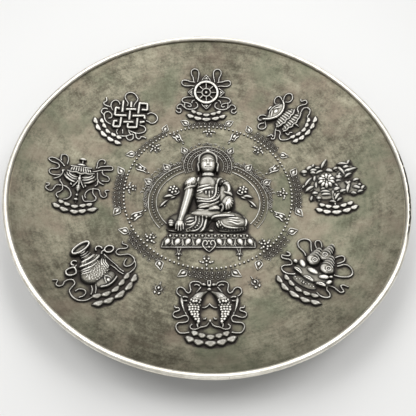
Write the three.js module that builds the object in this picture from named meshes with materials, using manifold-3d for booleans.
// A round white-metal plate with cast reliefs: a seated figure on a lotus throne inside a beaded ring, and
// eight traditional emblems round it. Millimetres, +Z up, the foot standing on z = 0, +Y to the figure's head.
import * as THREE from "three";
import { mergeVertices } from "three/addons/utils/BufferGeometryUtils.js";
import Module from "manifold-3d";

const wasm = await Module();
wasm.setup();

// Driving dimensions of the plate
const PLATE_RADIUS = 75;
const FLOOR_RADIUS = 30;
const WELL_DEPTH = 14.2;
const WALL = 1.6;
const FOOT_HEIGHT = 2.4;
const FOOT_RADIUS = 30;
const FOOT_WIDTH = 2.6;
const RIM_WIRE = 2.3;
const SEAM_GAP = 0.36;
const ROUND_STEPS = 56;

const FLOOR_Z = FOOT_HEIGHT + WALL;
const WALL_ARC = ((PLATE_RADIUS - FLOOR_RADIUS) ** 2 + WELL_DEPTH ** 2) / (2 * WELL_DEPTH);

const SILVER = { color: 0x8d8a80, roughness: 0.42, metalness: 0.9 };
const POLISHED = { color: 0xd6d2c8, roughness: 0.25, metalness: 1 };
const RELIEF = { color: 0xa29e92, roughness: 0.38, metalness: 0.9 };

const degrees = (angle) => angle * Math.PI / 180;

// Slope of the wall at a radius, and the height of the plate's upper face over its flat floor there
const wallSlope = (r) => Math.asin(Math.max(0, r - FLOOR_RADIUS) / WALL_ARC);
const wellRise = (r) => WALL_ARC * (1 - Math.cos(wallSlope(r)));

// A closed three.js geometry as a solid that can be joined and cut
function solidOf(geometry) {
  const bare = geometry.index ? geometry.toNonIndexed() : geometry.clone();
  bare.deleteAttribute("normal");
  bare.deleteAttribute("uv");
  const merged = mergeVertices(bare, 1e-4);
  return new wasm.Manifold(new wasm.Mesh({
    numProp: 3,
    vertProperties: merged.attributes.position.array,
    triVerts: new Uint32Array(merged.index.array),
  }));
}

// A solid back as a three.js geometry
function geometryOf(solid) {
  const mesh = solid.getMesh();
  const places = [];
  for (let i = 0; i < mesh.numVert; i++) {
    places.push(...mesh.vertProperties.subarray(i * mesh.numProp, i * mesh.numProp + 3));
  }
  const geometry = new THREE.BufferGeometry();
  geometry.setAttribute("position", new THREE.Float32BufferAttribute(places, 3));
  geometry.setIndex([...mesh.triVerts]);
  geometry.computeVertexNormals();
  return geometry;
}

const joined = (solids) => solids.reduce((all, one) => all.add(one));

const plate = new THREE.Group();
function addPiece(name, geometry, finish) {
  const mesh = new THREE.Mesh(geometry, new THREE.MeshStandardMaterial(finish));
  mesh.name = name;
  plate.add(mesh);
}

// A closed profile in radius and height, turned round the plate's axis
function turned(profile, steps = ROUND_STEPS) {
  const geometry = new THREE.LatheGeometry(profile.map(([r, z]) => new THREE.Vector2(r, z)), steps);
  return geometry.rotateX(Math.PI / 2);
}

// The dish: a spun shell with a flat floor, a wall that sweeps up in one arc, and a lip that carries the wire
const WALL_STEPS = 5;
const LIP_TOP = FLOOR_Z + WELL_DEPTH - 1.25;
const LIP_INNER = FLOOR_RADIUS + Math.sqrt(WALL_ARC ** 2 - (WALL_ARC + FLOOR_Z - LIP_TOP) ** 2);
const LIP_OUTER = PLATE_RADIUS - 0.5;
const wallRadii = Array.from({ length: WALL_STEPS + 1 }, (_, i) => {
  return FLOOR_RADIUS + (LIP_INNER - FLOOR_RADIUS) * i / WALL_STEPS;
});
const outerFace = wallRadii.map((r) => {
  return [r + WALL * Math.sin(wallSlope(r)), FLOOR_Z + wellRise(r) - WALL * Math.cos(wallSlope(r))];
});
const innerFace = wallRadii.map((r) => [r, FLOOR_Z + wellRise(r)]);
addPiece("dish", turned([
  [0, FLOOR_Z - WALL],
  ...outerFace,
  [LIP_OUTER, LIP_TOP - 0.7],
  [LIP_OUTER, LIP_TOP],
  ...innerFace.reverse(),
  [0, FLOOR_Z],
]), SILVER);

// The rim wire: a round wire with a flat filed on its underside, closed into a hoop and soldered on the lip
const WIRE_ARC_STEPS = 5;
const wireRadius = RIM_WIRE / 2;
const wireCentre = [PLATE_RADIUS - wireRadius, FLOOR_Z + WELL_DEPTH - 0.3];
const flatTurn = Math.asin((wireCentre[1] - LIP_TOP) / wireRadius);
const wireProfile = Array.from({ length: WIRE_ARC_STEPS + 1 }, (_, i) => {
  const turn = -flatTurn + (Math.PI + 2 * flatTurn) * i / WIRE_ARC_STEPS;
  return [wireCentre[0] + wireRadius * Math.cos(turn), wireCentre[1] + wireRadius * Math.sin(turn)];
});
addPiece("rim_wire", turned([...wireProfile, wireProfile[0]]), POLISHED);

// The foot ring: a turned hoop that stands under the floor
addPiece("foot_ring", turned([
  [FOOT_RADIUS - FOOT_WIDTH, FOOT_HEIGHT],
  [FOOT_RADIUS - FOOT_WIDTH + 0.4, 0],
  [FOOT_RADIUS - 0.6, 0],
  [FOOT_RADIUS, FOOT_HEIGHT],
  [FOOT_RADIUS - FOOT_WIDTH, FOOT_HEIGHT],
]), SILVER);

// Reliefs are shaped flat, with u to the right, v up and h out of the metal, and then bent onto the dish
function laidOnDish(geometry, [x, y] = [0, 0], turn = 0) {
  const places = geometry.attributes.position;
  const [across, along] = [Math.cos(degrees(turn)), Math.sin(degrees(turn))];
  for (let i = 0; i < places.count; i++) {
    const [u, v, h] = [places.getX(i), places.getY(i), places.getZ(i)];
    const [px, py] = [x + u * across - v * along, y + u * along + v * across];
    const r = Math.hypot(px, py) || 1e-9;
    const lift = h + SEAM_GAP;
    const inward = -Math.sin(wallSlope(r)) * lift / r;
    const height = FLOOR_Z + wellRise(r) + Math.cos(wallSlope(r)) * lift;
    places.setXYZ(i, px * (1 + inward), py * (1 + inward), height);
  }
  geometry.computeVertexNormals();
  return geometry;
}

// A raised strip drawn along a smooth line: a ribbon, cord, blade, border or limb. Its section is given in half
// widths and heights, from one foot over the top to the other, and size(share) swells it.
const RIDGE = [[-1, 0], [0, 1], [1, 0]];
const ROUNDED = [[-1, 0], [-0.75, 0.7], [0, 1], [0.75, 0.7], [1, 0]];
function strip(line, width, height, steps, section, size, closed = false) {
  const places = [];
  const faces = [];
  const ring = section.length;
  const rings = closed ? steps : steps + 1;
  for (let i = 0; i < rings; i++) {
    const { x, y } = line.getPointAt(i / steps);
    const ahead = line.getTangentAt(i / steps);
    for (const [side, rise] of section) {
      const out = side * width / 2 * size(i / steps);
      places.push(x + ahead.y * out, y - ahead.x * out, rise * height * size(i / steps));
    }
  }
  for (let i = 0; i < steps; i++) {
    for (let j = 0; j < ring; j++) {
      const [here, beside] = [i * ring + j, i * ring + (j + 1) % ring];
      const [next, across] = [here, beside].map((at) => (at + ring) % (rings * ring));
      faces.push(here, beside, next, beside, across, next);
    }
  }
  for (let j = 1; j < ring - 1 && !closed; j++) {
    faces.push(0, j + 1, j);
    faces.push(steps * ring, steps * ring + j, steps * ring + j + 1);
  }
  const geometry = new THREE.BufferGeometry();
  geometry.setAttribute("position", new THREE.Float32BufferAttribute(places, 3));
  geometry.setIndex(faces);
  return solidOf(geometry);
}

function ridge(points, width, height, steps, size = () => 1, section = RIDGE) {
  const line = new THREE.CatmullRomCurve3(points.map(([u, v]) => new THREE.Vector3(u, v, 0)));
  return strip(line, width, height, steps, section, size);
}

function ribbon(points, width = 1.05, height = 1.15, stride = 2.3) {
  const reach = points.slice(1).reduce((sum, [u, v], i) => {
    return sum + Math.hypot(u - points[i][0], v - points[i][1]);
  }, 0);
  return ridge(points, width, height, Math.max(1, Math.round(reach / stride)));
}

// A straight flat-topped bar, its ends run on by half its width
function bar([fromU, fromV], [toU, toV], width, height) {
  const reach = Math.hypot(toU - fromU, toV - fromV) + width;
  const outline = new THREE.Shape();
  outline.moveTo(-reach / 2, -width / 2);
  outline.lineTo(reach / 2, -width / 2);
  outline.lineTo(reach / 2, width / 2);
  outline.lineTo(-reach / 2, width / 2);
  const geometry = new THREE.ExtrudeGeometry(outline, { depth: height, bevelEnabled: false });
  geometry.rotateZ(Math.atan2(toV - fromV, toU - fromU));
  return solidOf(geometry.translate((fromU + toU) / 2, (fromV + toV) / 2, 0));
}

// A low dome, round or drawn out: petals, beads, buds and leaves
function dome(u, v, halfLength, halfWidth, height, turn = 0, sides = 5) {
  const shoulder = [0.72, 0.66];
  const profile = [[0, 0], [1, 0], shoulder, [0, 1]].map(([r, z]) => new THREE.Vector2(r, z));
  const geometry = new THREE.LatheGeometry(profile, sides).rotateX(Math.PI / 2).rotateZ(Math.PI / 2);
  geometry.scale(halfLength, halfWidth, height).rotateZ(degrees(turn)).translate(u, v, 0);
  return solidOf(geometry);
}

// A flat outline raised to a height, with any holes cut through
function raised(outline, height, base = 0) {
  return solidOf(new THREE.ExtrudeGeometry(outline, {
    depth: height,
    bevelEnabled: false,
    curveSegments: 6,
  }).translate(0, 0, base));
}

function circleOutline(u, v, radius) {
  const outline = new THREE.Shape();
  outline.absarc(u, v, radius, 0, 2 * Math.PI);
  return outline;
}

// The two rows of plump petals that every emblem stands on, bowed like a smile
const PETALS = 5;
const petalSwell = (share) => 0.45 + 0.55 * Math.abs(Math.sin(Math.PI * PETALS * share));
function lotusBase(u, v, turn = 0) {
  const place = (along, up) => [
    u + along * Math.cos(degrees(turn)) - up * Math.sin(degrees(turn)),
    v + along * Math.sin(degrees(turn)) + up * Math.cos(degrees(turn)),
  ];
  const row = (reach, drop) => [-1, -0.5, 0, 0.5, 1].map((share) => {
    return place(share * reach, 1.9 * share * share - drop);
  });
  const upper = ridge(row(7, 0), 2.6, 1.5, 3 * PETALS, petalSwell);
  const lower = ridge(row(8.7, 2.3), 2.6, 1.6, 3 * PETALS, petalSwell);
  return upper.add(lower);
}

const mirrored = (points, about) => points.map(([u, v]) => [2 * about - u, v]);
function mirroredPair(points, about, ...sizes) {
  return ribbon(points, ...sizes).add(ribbon(mirrored(points, about), ...sizes));
}

function addEmblem(name, place, turn, pieces) {
  const solid = joined(pieces);
  addPiece(name, laidOnDish(geometryOf(solid), place, turn), RELIEF);
}

// Wheel: eight spokes between a hub ring and a felly, a palmette at each quarter, ribbon bows at both sides
const WHEEL_RADIUS = 5.4;
const FELLY = 1.2;
const SPOKES = 8;
const wheelPlate = circleOutline(0, 0, WHEEL_RADIUS);
for (let i = 0; i < SPOKES; i++) {
  const corner = (radius, side) => {
    const turn = (i + 0.5) * 2 * Math.PI / SPOKES + side * (Math.PI / SPOKES - 0.36 / radius);
    return [radius * Math.cos(turn), radius * Math.sin(turn)];
  };
  const window = new THREE.Path();
  window.moveTo(...corner(2.2, -1));
  window.lineTo(...corner(WHEEL_RADIUS - FELLY, -1));
  window.lineTo(...corner(WHEEL_RADIUS - FELLY, 1));
  window.lineTo(...corner(2.2, 1));
  wheelPlate.holes.push(window);
}
const palmettes = [0, 90, 180, 270].map((angle) => {
  return dome(6.4 * Math.cos(degrees(angle)), 6.4 * Math.sin(degrees(angle)), 2.0, 1.5, 1.1, angle);
});
addEmblem("wheel_emblem", [-0.3, 50.7], 0, [
  raised(wheelPlate, 1.3),
  dome(0, 0, 0.9, 0.9, 1.9),
  ...palmettes,
  mirroredPair([[-3.4, 4], [-3.4, 9.8], [-5.2, 11.1], [-6.6, 9.6], [-4.2, 4.2]], 0),
  mirroredPair([[-4.2, 4.2], [-10, 5.5], [-11, 4.4], [-9.8, 3.2], [-4.6, 2.6]], 0),
  mirroredPair([[-5, -1.4], [-9, -2.2], [-10.8, -3.8], [-9.9, -6.8], [-6.8, -8.6], [-4.4, -6.6],
    [-4.8, -3.4]], 0),
  mirroredPair([[-9.8, -6], [-12.4, -6], [-12.2, -8.4], [-13, -9.8]], 0),
  lotusBase(0, -10.4),
]);

// Banner: a lens of a canopy with bows at its ends, over two pleated skirts and a drop
function skirt(top, bottom, halfTop, halfBottom, height) {
  const outline = new THREE.Shape();
  outline.moveTo(-halfTop, top);
  outline.quadraticCurveTo(0, top - 1.4, halfTop, top);
  outline.lineTo(halfBottom, bottom + 0.8);
  outline.quadraticCurveTo(0, bottom - 1.4, -halfBottom, bottom + 0.8);
  const pleats = [-0.7, 0, 0.7].map((share) => {
    return ridge([[halfTop * share, top - 0.6], [halfBottom * share, bottom]], 0.9, height + 0.35, 1);
  });
  return joined([raised(outline, height), ...pleats]);
}
const canopy = new THREE.Shape();
canopy.moveTo(-6.2, 6.6);
canopy.quadraticCurveTo(-1, 8.6, 4.6, 6.6);
canopy.quadraticCurveTo(-1, 0.4, -6.2, 6.6);
addEmblem("banner_emblem", [34.5, 36.5], 42, [
  raised(canopy, 1.1),
  ribbon([[-6.6, 6.6], [-4.4, 4.2], [-0.8, 3.1], [2.8, 4.2], [4.8, 6.6]], 1.3, 1.7),
  dome(-1.2, 8.2, 1.7, 0.9, 1.4),
  skirt(3.4, -1, 4.4, 5.2, 1.0),
  skirt(-0.6, -4.4, 4.4, 5.4, 0.8),
  dome(0.4, -6, 0.8, 1.9, 1.0),
  ribbon([[4.2, 6.4], [1.9, 8.6], [3.9, 10.2], [5.4, 8.6], [4.4, 6.2]]),
  ribbon([[4.6, 6], [7.6, 8], [9.3, 6.4], [7.4, 4.4], [5, 5.4]]),
  ribbon([[-6.2, 6.6], [-4.8, 8], [-6.8, 9.3], [-8.5, 8.2], [-6.4, 6.2]]),
  ribbon([[-6.8, 6.4], [-9.4, 6.6], [-11.6, 5.2], [-10, 3.3], [-6.4, 5.9]]),
  ribbon([[-5, 0], [-7.4, -1], [-10.6, -3.4], [-12, -2.6], [-10.4, -1.6], [-11.8, -0.4]]),
  ribbon([[-7.6, -1.2], [-6.8, -3.4], [-9.2, -4.8], [-8.4, -7], [-5, -8.6]]),
  ribbon([[4.6, -2], [7.3, -0.3], [10.3, -1.9], [10.9, -0.4], [9.8, 0.8], [10.6, 2]]),
  ribbon([[5, -2.8], [8.4, -2.2], [9.2, -4.2], [6.4, -6.6], [4.4, -8.6]]),
  lotusBase(0.5, -9.4, 4),
]);

// A pointed leaf: a short ridge that swells in its middle
function blade(u, v, length, width, turn, height = 1.5) {
  const [du, dv] = [Math.cos(degrees(turn)) * length / 2, Math.sin(degrees(turn)) * length / 2];
  const leafSize = (share) => 0.15 + 0.85 * Math.sin(Math.PI * share);
  return ridge([[u - du, v - dv], [u, v], [u + du, v + dv]], width, height, 2, leafSize);
}

// Lotus: an open flower with a ribbed pod, buds and blades all round it
const blades = [
  [-3, 9.6, 3.4, 0.9, 62], [-6.2, 9.2, 3.4, 1.0, 128], [-9, 7, 3.6, 1.0, 155], [-9.8, 3.4, 3.4, 0.8, 52],
  [-8.6, 0.2, 3.4, 1.0, 30], [-7.6, -3.4, 3.2, 0.9, 20], [-4.4, -2.8, 3.2, 0.9, 5], [-1.4, -5.4, 3.2, 0.9, 60],
  [-8, -4.8, 2.6, 0.8, 65], [3.2, -2.6, 3.2, 1.0, 30], [6.6, -2.6, 3.6, 1.0, 155], [6.2, 0.6, 3.2, 1.0, 15],
  [5.8, 4, 3.4, 0.9, 28], [6.2, 6.6, 3.4, 0.9, 20], [3.2, 7.6, 3.4, 0.9, 118], [3.6, 8.4, 3, 0.9, 160],
  [0.6, 7.2, 2.4, 0.9, 60], [2.2, 3.4, 2.4, 1.1, 0], [2.4, 0.4, 2.6, 1.0, 40], [8.0, -2.2, 2.6, 1.0, 60],
];
addEmblem("lotus_emblem", [50.5, 1.0], 0, [
  dome(-2.9, 3.3, 3.1, 3.1, 2.2, 0, 9),
  dome(-1.4, 1, 9.4, 8.2, 0.8, 0, 9),
  ridge([[-1, -2], [-1, -9]], 1.2, 1.2, 1),
  ...blades.map(([u, v, length, width, turn]) => blade(u, v, length, width, turn)),
  dome(-11, 7.7, 1.5, 0.9, 1.3, 0, 5),
  lotusBase(-1, -9.6, -4),
]);

// Shells: three turret shells with ribbed spires, over a nest of lobes, between big ribbon bows
function shell(u, v, halfWidth, whorls) {
  const pieces = [dome(u, v, halfWidth, halfWidth * 1.15, 1.9, 90)];
  for (let i = 0; i < whorls; i++) {
    const half = halfWidth * (0.86 - 0.24 * i);
    pieces.push(dome(u, v + halfWidth * 0.95 + 1.05 * i, half, 0.75, 1.8 - 0.2 * i));
  }
  return joined(pieces);
}
const lobed = (share) => 0.55 + 0.45 * Math.abs(Math.sin(3 * Math.PI * share));
addEmblem("shell_emblem", [36.5, -36.0], -40, [
  shell(0.2, 8, 2.3, 3),
  shell(-2, 4.3, 2.4, 3),
  shell(3.9, 3.7, 2.5, 3),
  dome(-4.2, 0.9, 2.4, 1.4, 1.9, -35),
  dome(0.3, 0, 2.9, 1.5, 2.0),
  dome(4.9, 0.2, 2.4, 1.2, 1.9, 35),
  ridge([[-6.4, -1.6], [0, -2.8], [7, -1.8]], 2.6, 1.7, 9, lobed),
  dome(0.4, -1, 5.2, 5.8, 1.0, 0, 7),
  ribbon([[-3.6, 7], [-7.3, 11.1], [-10.6, 8.4], [-8.8, 6.1], [-4, 4.4]]),
  ribbon([[-2, 9], [-4.6, 12.8], [-5.4, 11], [-3, 7.4]]),
  ribbon([[3, 8.4], [5.4, 11.4], [6.7, 9.8], [4.4, 6.8]]),
  ribbon([[5.6, 6], [8.8, 8.7], [11.6, 6], [9.6, 3.6], [5.6, 2.8]]),
  ribbon([[-11.9, 2], [-10.2, 1.6], [-12.4, -0.4], [-10.4, -0.8], [-7.6, -0.6], [-9.5, -4], [-7.4, -5.7],
    [-2.4, -5.6]]),
  dome(-6.6, 0.2, 1.6, 1.0, 1.2),
  ribbon([[13, 0.8], [11, 0.4], [12.6, -1.7], [10.6, -2.1], [6, -2.4], [9.6, -4.7], [8.6, -6.8], [5, -7.6]]),
  lotusBase(0, -8.8, -3),
]);

// Fishes: a mirrored pair hung from one knot, scaled bodies, tails crossed below, streamers at the sides
const fishBody = [[1.2, 6.9, 0.8, 1.7], [3.5, 4.6, 1.8, 2.2], [4.9, 0.9, 2.0, 2.4], [4.4, -2.9, 1.2, 2.2]];
const fishes = fishBody.flatMap(([u, v, wide, long]) => [1, -1].map((side) => {
  return dome(side * u, v, long * 1.25, wide, 1.1 + wide * 0.45, 90 + side * (v > 2 ? 35 : -8));
}));
addEmblem("fish_emblem", [-0.2, -50.5], 0, [
  ...fishes,
  dome(0, 9.4, 2.4, 0.8, 1.3, 90),
  mirroredPair([[0, 10], [2.4, 10.4]], 0, 1.5, 1.3, 9),
  mirroredPair([[2.2, 10.3], [3.6, 11.8], [6.2, 11.4], [6.6, 8], [8.2, 7.4], [10, 9.5], [11.2, 7.6],
    [9.6, 5.6]], 0),
  mirroredPair([[9.7, 5.8], [9, 2.6], [7.4, -2], [7.8, -4.2], [10.9, -5], [10.4, -7.6], [7, -8.2],
    [5, -8.4]], 0),
  mirroredPair([[11.6, 2.2], [10.4, 0.8], [12.2, -0.8], [11, -2.5], [7.4, -2]], 0),
  mirroredPair([[0, -4], [2, -6.1], [5.2, -6.9], [6.6, -5.8], [5.6, -4.9]], 0),
  mirroredPair([[4.2, -4.4], [3.4, -6.4]], 0, 1.05, 1.15, 9),
  mirroredPair([[0, 3], [2.4, 1.4], [4, 1.4]], 0, 0.8, 0.9),
  lotusBase(0, -9.4),
  dome(0, -6.6, 2.6, 0.8, 0.9, 90),
]);

// Vase: an oval mouth on a ribbed neck, a collar, a round body with a drape, rings and long ribbons
const vaseMouth = new THREE.Shape();
vaseMouth.absellipse(-1.2, 11.6, 3.7, 1.7, 0, 2 * Math.PI, false, degrees(16));
const mouthHole = new THREE.Path();
mouthHole.absellipse(-1.2, 11.6, 2.8, 0.9, 0, 2 * Math.PI, false, degrees(16));
vaseMouth.holes.push(mouthHole);
const mouthFloor = new THREE.Shape();
mouthFloor.absellipse(-1.2, 11.6, 3.2, 1.3, 0, 2 * Math.PI, false, degrees(16));
addEmblem("vase_emblem", [-39, -37], 33, [
  raised(vaseMouth, 1.8),
  raised(mouthFloor, 0.9),
  dome(-0.6, 9.4, 1.7, 1.4, 1.6, 90, 7),
  dome(0, 7.6, 2.6, 0.9, 1.9, 12),
  dome(0.2, 5.6, 4.4, 1.5, 2.1, 12, 8),
  dome(-0.6, 1.2, 5.8, 5.4, 2.4, 10, 10),
  dome(0.6, -4.2, 2.6, 2.6, 1.4, 10, 8),
  ribbon([[-5, 4.2], [-1, 1], [3.4, 2.6], [5, 6.4]], 1.2, 2.5),
  ribbon([[-2.4, -4.6], [1, -5.9], [4.6, -4.6]], 1.2, 1.7),
  ribbon([[-5.4, 5], [-6.6, 7.2], [-5.2, 8.2], [-4.2, 6.8], [-5, 5]], 0.9, 1.1, 1.6),
  ribbon([[-5.2, 4.6], [-8, 5.4], [-9.4, 4], [-7.9, 2.7], [-5.4, 3.4]]),
  ribbon([[2.4, 7], [3, 9.2], [4.4, 10.2], [5.6, 8.8], [5, 6.8]]),
  ribbon([[3.8, 5.6], [6.2, 8.6], [8.2, 9], [9.2, 7.2], [7.6, 5.9], [3.8, 5]]),
  ribbon([[3.6, 4.6], [6.6, 2], [7.6, -2.4], [6.6, -6]], 0.9, 0.9),
  ribbon([[14, 8], [13.2, 6.8], [14.2, 5.2], [11.6, 6], [9.4, 4.8], [11.6, 2.8], [13.7, 0.6], [12.6, -3.4],
    [9.4, -4.7], [6.6, -5.6]]),
  ribbon([[13.4, -0.6], [11.2, -2.2], [9.6, -1], [11.4, 0.9]]),
  ribbon([[-14, 3.4], [-12.6, 2.4], [-13.6, 0.5], [-11.6, 1], [-9.8, 1.7], [-8.6, 0], [-11.2, -2.6],
    [-10.8, -6], [-7.8, -8.3], [-4.6, -8.2]]),
  ribbon([[-11.2, -5], [-9.6, -3.4], [-7.4, -3.7], [-6.9, -5.6], [-9.4, -6.2]]),
  lotusBase(1.6, -9.2, 14),
]);

// Parasol: disc finials over a domed cover, swagged cloth gathered on a knot with a pendant, bows and ribbons
const swags = new THREE.Shape();
swags.moveTo(-4.2, 8);
swags.quadraticCurveTo(0, 9.2, 4.2, 8);
swags.lineTo(5.8, 4.4);
swags.quadraticCurveTo(4.4, 0.4, 0, -1.2);
swags.quadraticCurveTo(-4.4, 0.4, -5.8, 4.4);
addEmblem("parasol_emblem", [-50.8, 1.0], 0, [
  raised(swags, 1.2),
  ridge([[0.2, 12], [0.2, 7]], 1.2, 1.5, 1),
  dome(0.2, 11.5, 1.7, 0.7, 1.7),
  dome(0.2, 8.8, 2.2, 0.8, 1.9),
  ridge([[-4.6, 6.4], [0, 7], [4.6, 6.4]], 2.6, 2.1, 3),
  mirroredPair([[-5.2, 4], [-3.4, 1.2], [0, 0.2]], 0, 1.8, 2.0),
  ridge([[0, 4.6], [0, -1.6], [0, -8]], 1.9, 2.0, 6, (share) => 0.55 + 0.45 * Math.cos(4 * Math.PI * share)),
  mirroredPair([[4, 6], [6, 10.6], [7.6, 12.8], [8.8, 11.6], [6, 7.2], [4, 5.6]], 0),
  mirroredPair([[6.2, 8.2], [11.4, 10], [11.2, 8.2], [8.4, 7.4], [10.9, 4.8], [10.6, 2.8], [7.2, 2.9],
    [4.6, 6.6]], 0),
  mirroredPair([[7, 3.6], [6.6, 0.4], [5, -1.6]], 0),
  mirroredPair([[3, -1], [7.4, -1.6], [8.8, -4.2], [10.6, -4.4], [10.3, -2.2], [11.6, -1.5]], 0),
  mirroredPair([[5.2, -1.4], [7.3, -5.6], [5.6, -7.4], [2.8, -7.4], [2, -4.8], [4.2, -1.4]], 0),
  lotusBase(-0.2, -9.8, 2),
]);

// Endless knot: bands that weave square, its corners closed in squares and two rounds
const KNOT_BAND = 1.2;
const uprights = [[-3.2, 7.6, -3.6, -5], [0.3, 7.4, -0.4, -4.6], [3.8, 7.8, 3.3, -4.4], [-6.5, 3.9, -6.4, 0.6],
  [-6.6, -2.4, -6.6, -5], [7.2, 7.8, 7.2, 4.7]];
const levels = [[-6.4, 3.8, 7.2, 4.7], [-6.4, 0.6, 6.2, 2], [-6.6, -2.4, 6.2, -1.4], [-6.6, -5, -3.6, -5],
  [-0.4, -4.6, 3.3, -4.4], [3.8, 7.8, 7.2, 7.8]];
const knotPieces = [
  ...uprights.map(([u1, v1, u2, v2]) => bar([u1, v1], [u2, v2], KNOT_BAND, 1.5)),
  ...levels.map(([u1, v1, u2, v2]) => bar([u1, v1], [u2, v2], KNOT_BAND, 1.2)),
];
addEmblem("knot_emblem", [-33.5, 35.5], 0, [
  ...knotPieces,
  ribbon([[-2.8, 6.4], [-1, 7.2], [-2.3, 10], [0.3, 12.3], [3, 10], [1.8, 7], [3.8, 6.6]]),
  ribbon([[7.2, 3], [9.4, 4], [11.6, 2.6], [11.4, -0.6], [9.2, -1.3], [6.6, 0.2], [6.2, 1.9]]),
  ribbon([[7.2, 4.8], [7.4, 2.6]]),
  ribbon([[-6, 1.4], [-8.1, 5], [-5.8, 7.7], [-3.6, 6]]),
  ribbon([[-10, 8], [-10.6, 5.4], [-7.4, 3.8]]),
  ribbon([[-8.2, -1], [-7.5, 0.8], [-9.6, 1.6], [-10.4, -0.6], [-9.2, -3.2], [-6.4, -4.4]]),
  ribbon([[3.6, -2], [6.8, -3.4], [6.8, -5.8], [3.4, -7], [0.6, -6.8], [-0.4, -4.8]]),
  ribbon([[2.6, -6.8], [3.3, -8.8], [4.8, -9.6], [5.6, -8.3], [7.4, -9.2]]),
  ribbon([[-4.4, -8.6], [0.6, -8.2], [2, -7.4], [1.8, -10], [0, -10.4], [-0.8, -8.6]]),
  ribbon([[-4, -4.9], [-4.8, -8.4]]),
  lotusBase(-7.2, -6.4, -37),
]);

// The beaded ring round the figure: a row of beads, eight net-worked panels outside it with a flame leaf at
// each end, and inside it a floret or a leaf spray at every sixteenth, save where the throne's pendants hang
const BEAD_RING = 33.2;
const BEADS = 120;
const PANEL_SPAN = 13.4;
const PANEL_REACH = [4.6, 4.2, 3.2, 2.9, 4.6, 4.4, 4.1, 4.4];
const beadCircle = new THREE.CatmullRomCurve3(Array.from({ length: 16 }, (_, i) => {
  const turn = i * Math.PI / 8;
  return new THREE.Vector3(BEAD_RING * Math.cos(turn), BEAD_RING * Math.sin(turn), 0);
}), true);
const beadSwell = (share) => 0.72 + 0.28 * Math.cos(2 * Math.PI * BEADS * share);
const petalFull = (share) => 0.3 + 0.7 * Math.sin(Math.PI * share);
const atAngle = (radius, angle) => [radius * Math.cos(degrees(angle)), radius * Math.sin(degrees(angle))];
const ringPieces = [strip(beadCircle, 1.7, 1.0, 2 * BEADS, RIDGE, beadSwell, true)];
for (let i = 0; i < 8; i++) {
  const middle = 45 * i;
  const panel = new THREE.Shape();
  const [start, end] = [degrees(middle - PANEL_SPAN), degrees(middle + PANEL_SPAN)];
  panel.absarc(0, 0, BEAD_RING + PANEL_REACH[i], start, end, false);
  panel.absarc(0, 0, BEAD_RING + 1, end, start, true);
  ringPieces.push(raised(panel, 0.55));
  for (const side of [-1, 1]) {
    const leafAngle = middle + side * 15.2;
    ringPieces.push(blade(...atAngle(BEAD_RING + 2.7, leafAngle), 6.2, 2.9, leafAngle + side * 38, 1.1));
  }
  const floret = [atAngle(33, middle), atAngle(30.4, middle), atAngle(27.6, middle)];
  ringPieces.push(ridge(floret, 2.8, 1.2, 3, petalFull));
  if (i !== 5 && i !== 6) {
    const spray = [atAngle(33.2, middle + 24), atAngle(29.8, middle + 24.5), atAngle(26.6, middle + 20)];
    ringPieces.push(ridge(spray, 2.4, 1.2, 3, petalFull));
  }
}
const ringSolid = joined(ringPieces);

// The lotus throne: a beaded ledge over eight plump petals, a heart scroll between them, and two pendants
const THRONE_HALF = 17.4;
const throneBody = new THREE.Shape();
throneBody.moveTo(-THRONE_HALF + 2.2, -19.1);
throneBody.lineTo(THRONE_HALF - 2.2, -19.1);
throneBody.lineTo(THRONE_HALF - 1.6, -20.6);
throneBody.lineTo(THRONE_HALF, -24.8);
throneBody.lineTo(-THRONE_HALF, -24.8);
throneBody.lineTo(-THRONE_HALF + 1.6, -20.6);
const THRONE_BEADS = 13;
const ledgeSwell = (share) => 0.55 + 0.45 * Math.abs(Math.sin(Math.PI * THRONE_BEADS * share));
const thronePetals = [3.9, 7.8, 11.7, 15.4].flatMap((u) => [-1, 1].map((side) => {
  return ridge([[side * (u - 1.5), -21.4], [side * u, -22.2], [side * (u + 1.6), -23.9]], 2.6, 2.1, 4,
    (share) => 0.25 + 0.75 * Math.sin(Math.PI * Math.min(1, 0.2 + share)));
}));
const throneSolid = joined([
  raised(throneBody, 0.6),
  ridge([[-15.9, -20], [0, -20.1], [15.9, -20]], 1.4, 1.5, 2 * THRONE_BEADS, ledgeSwell),
  ridge([[-17.6, -24.7], [17.6, -24.7]], 0.9, 1.2, 1),
  ...thronePetals,
  mirroredPair([[0, -26.6], [2.5, -23.6], [1.4, -21.6], [0.6, -23.2]], 0, 0.9, 1.7, 1.6),
  dome(0, -22.3, 0.6, 0.6, 1.4),
  ridge([[-10.6, -24.4], [-11.2, -27], [-11.6, -29.6]], 2.2, 1.2, 3, petalFull),
  ridge([[10.6, -24.4], [11.2, -27], [11.6, -29.6]], 2.2, 1.2, 3, petalFull),
]);

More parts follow.
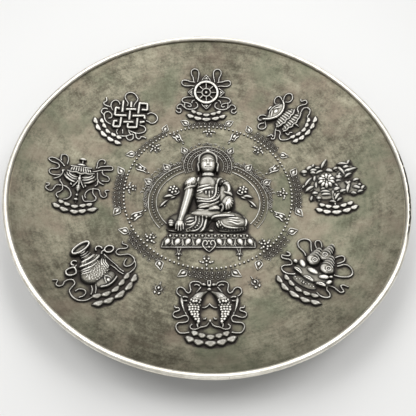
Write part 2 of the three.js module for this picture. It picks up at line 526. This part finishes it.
// The seated figure: legs crossed, one hand reaching down over the knee, the other in the lap, a robe over one
// shoulder with a beaded border, long ears, and the head in a smooth cap of hair
function ball(u, v, h, halfU, halfV, halfH, turn = 0, sides = 9, rings = 6) {
  const geometry = new THREE.SphereGeometry(1, sides, rings).rotateX(Math.PI / 2);
  return solidOf(geometry.scale(halfU, halfV, halfH).rotateZ(degrees(turn)).translate(u, v, h));
}
const overMetal = solidOf(new THREE.BoxGeometry(80, 80, 20).translate(0, 0, 10));
const taper = (from, to) => (share) => from + (to - from) * share;
const hem = new THREE.Shape();
hem.moveTo(-15.6, -16.4);
hem.quadraticCurveTo(-8, -18.8, -1.6, -18.2);
hem.quadraticCurveTo(0, -16.6, 1.6, -18.2);
hem.quadraticCurveTo(10, -19, 14.6, -15.8);
hem.lineTo(12, -11);
hem.lineTo(-12.4, -11);
const figureSolid = joined([
  raised(hem, 1.2),
  ball(-7, -14.4, 0.6, 6.2, 3.2, 2.8, -14),
  ball(8, -14.4, 0.6, 6.4, 3.2, 3.2, 8),
  ball(0, -11.6, 0.6, 8, 2.6, 3.2),
  ball(0, -2.2, 0.8, 5.6, 8.6, 3.6),
  ball(0, 2.6, 0.6, 8.6, 3.4, 3.2, 0, 10),
  ball(0, 7, 1.2, 2.2, 3, 2.2, 0, 7),
  ball(0, 12.4, 1.4, 3.5, 4.5, 3.5, 0, 10, 8),
  ball(0, 14, 0.8, 4.3, 4.2, 2.8, 0, 10),
  ball(0, 17.6, 0.8, 1.6, 1.5, 2.2, 0, 7),
  mirroredPair([[-4, 14], [-4.3, 10.6], [-3.9, 8]], 0, 1.1, 2.4, 1.6),
  ridge([[-7.4, 3.4], [-8.8, -4.4], [-10, -11.6], [-10.8, -17.6]], 3.6, 4.4, 6, taper(1, 0.72), ROUNDED),
  ridge([[7.2, 3.6], [9, -3.6], [8.2, -8.6], [3.4, -9.6], [-0.6, -9.9]], 3.8, 4.8, 7, taper(1, 0.75), ROUNDED),
  ridge([[-10.8, -14], [-10.8, -18.2]], 3.2, 2.8, 2, taper(1, 0.8), ROUNDED),
  ridge([[-9.6, 1], [-6.6, 0.4], [-4, 3], [-3.4, 6]], 1.2, 4.9, 4),
  ridge([[3.4, 6], [3.6, -1.4], [1, -7], [-4.4, -7]], 1.8, 5.0, 6),
  ridge([[6.4, 4.6], [5.6, -3.4], [2.4, -8.4]], 1.6, 4.9, 4),
  ridge([[-3.2, -10.2], [-3.6, -14.6], [-7.6, -17.4]], 1.4, 3.6, 4),
  ridge([[-0.8, -11.6], [-1.8, -15.6], [-4, -18]], 1.2, 3.2, 3),
  ridge([[2.2, -13.4], [3.4, -16.6], [6.6, -18]], 1.4, 2.8, 3),
  ridge([[0, -14], [2, -12.4], [9.4, -12.4]], 1.0, 4.2, 4),
  ball(-14.2, -14.8, 0.6, 1.4, 1.9, 1.8, 0, 7, 4),
]).intersect(overMetal);

// The aureole: a double-edged band round the head and down both sides to the throne, with six flame leaves
const DOUBLE_EDGE = [[-1, 0], [-1, 1], [-0.62, 0.45], [0.62, 0.45], [1, 1], [1, 0]];
const even = () => 1;
const headBand = [-20, 10, 40, 70, 90, 110, 140, 170, 200].map((angle) => {
  return [8.4 * Math.cos(degrees(angle)), 12.6 + 8.4 * Math.sin(degrees(angle))];
});
const haloPieces = [
  ridge(headBand, 2.8, 0.8, 14, even, DOUBLE_EDGE),
  ...[-1, 1].map((side) => ridge([[side * 7.6, 13], [side * 14.8, 8.6], [side * 20, 2.2], [side * 22.2, -5],
    [side * 20.6, -12], [side * 18.4, -15.2]], 3.2, 0.8, 8, even, DOUBLE_EDGE)),
  ...[[9.3, 20.4, 65], [16.8, 12.6, 45], [23.8, 4.6, 30]].flatMap(([u, v, turn]) => [
    blade(u, v, 4.4, 2.4, turn),
    blade(-u, v, 4.4, 2.4, 180 - turn),
  ]),
  ...[-1, 1].map((side) => ridge([[side * 7, 18.4], [side * 15.2, 11], [side * 22.4, 3.4]], 3, 0.6, 5)),
];
const haloSolid = joined(haloPieces);

addPiece("bead_ring", laidOnDish(geometryOf(ringSolid)), RELIEF);
addPiece("aureole", laidOnDish(geometryOf(haloSolid)), RELIEF);
addPiece("lotus_throne", laidOnDish(geometryOf(throneSolid)), RELIEF);
addPiece("seated_figure", laidOnDish(geometryOf(figureSolid)), RELIEF);

// Flower sprays beside the shoulders, and two small drops outside the ring
for (const [name, side] of [["left_flower", -1], ["right_flower", 1]]) {
  const spray = joined([
    dome(side * 13.8, 0.6, 1.9, 1.9, 1.4, 0, 6),
    ridge([[side * 13.4, -0.6], [side * 14, -3], [side * 18.4, -6.8]], 1.5, 1.3, 4, taper(1, 0.5)),
    blade(side * 15.6, -2.6, 4, 1.3, side * -25),
  ]);
  addPiece(name, laidOnDish(geometryOf(spray)), RELIEF);
}
addPiece("left_drop", laidOnDish(geometryOf(blade(-17.8, -41.2, 5.6, 2.8, 75))), RELIEF);
addPiece("right_drop", laidOnDish(geometryOf(blade(16, -38.4, 6, 2.8, 115))), RELIEF);

export default plate;
